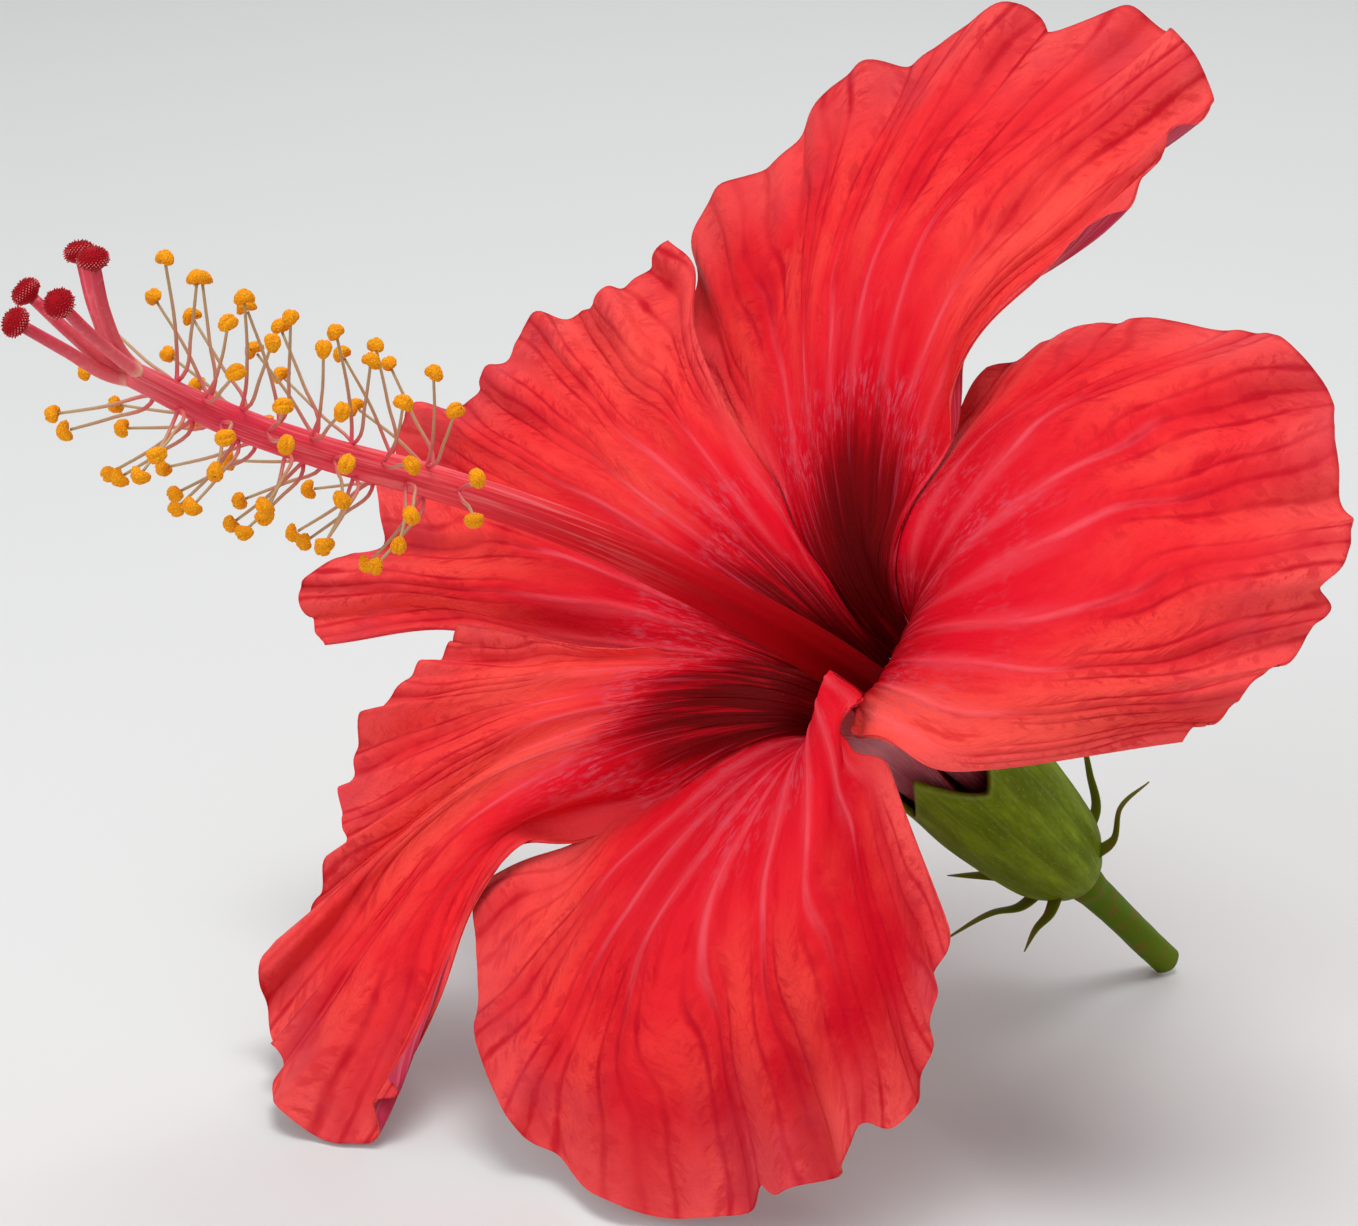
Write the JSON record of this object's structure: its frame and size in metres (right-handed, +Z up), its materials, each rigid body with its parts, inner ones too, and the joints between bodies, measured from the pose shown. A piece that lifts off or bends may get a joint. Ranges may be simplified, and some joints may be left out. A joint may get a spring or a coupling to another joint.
{
  "type": "hibiscus flower",
  "caption": "Cut red hibiscus flower lying on its petals: flared ruffled petals, long bent staminal column with golden anthers, green calyx, bracts and short stalk.",
  "frame": {"origin": "centre of the bounding box in plan, on the surface that the flower rests on", "axes": "+Z up from the surface; the throat opens up and towards -X -Y, and the cut stalk points down and towards +X +Y"},
  "size_m": [0.1148, 0.111, 0.1051],
  "materials": {
    "petal": "soft satin, coral red with pale raised veins, nearly black maroon in the throat",
    "column": "smooth satin, coral red darkening into the throat",
    "style": "velvety dark crimson",
    "stamen": "granular golden pollen on pink filaments",
    "calyx": "matt olive green with fine hairs",
    "bract": "matt olive green with brown edges",
    "stalk": "matt green, reddish brown at the sides"
  },
  "bodies": {
    "root": {"petal_lower": "petal", "petal_right": "petal", "petal_upper": "petal", "petal_upper_left": "petal", "petal_lower_left": "petal", "calyx": "calyx", "bract_1": "bract", "bract_2": "bract", "bract_3": "bract", "bract_4": "bract", "bract_5": "bract", "bract_6": "bract", "bract_7": "bract", "stalk": "stalk", "staminal_column": "column", "style_1": "style", "style_2": "style", "style_3": "style", "style_4": "style", "style_5": "style", "stamen_pair_01": "stamen", "stamen_pair_02": "stamen", "stamen_pair_03": "stamen", "stamen_pair_04": "stamen", "stamen_pair_05": "stamen", "stamen_pair_06": "stamen", "stamen_pair_07": "stamen", "stamen_pair_08": "stamen", "stamen_pair_09": "stamen", "stamen_pair_10": "stamen", "stamen_pair_11": "stamen", "stamen_pair_12": "stamen", "stamen_pair_13": "stamen", "stamen_pair_14": "stamen", "stamen_pair_15": "stamen", "stamen_pair_16": "stamen", "stamen_pair_17": "stamen", "stamen_pair_18": "stamen", "stamen_pair_19": "stamen", "stamen_pair_20": "stamen", "stamen_pair_21": "stamen", "stamen_pair_22": "stamen", "stamen_pair_23": "stamen", "stamen_pair_24": "stamen", "stamen_pair_25": "stamen", "stamen_pair_26": "stamen", "stamen_pair_27": "stamen", "stamen_pair_28": "stamen", "stamen_pair_29": "stamen", "stamen_pair_30": "stamen", "stamen_pair_31": "stamen", "stamen_pair_32": "stamen", "stamen_pair_33": "stamen", "stamen_pair_34": "stamen"}
  },
  "joints": []
}
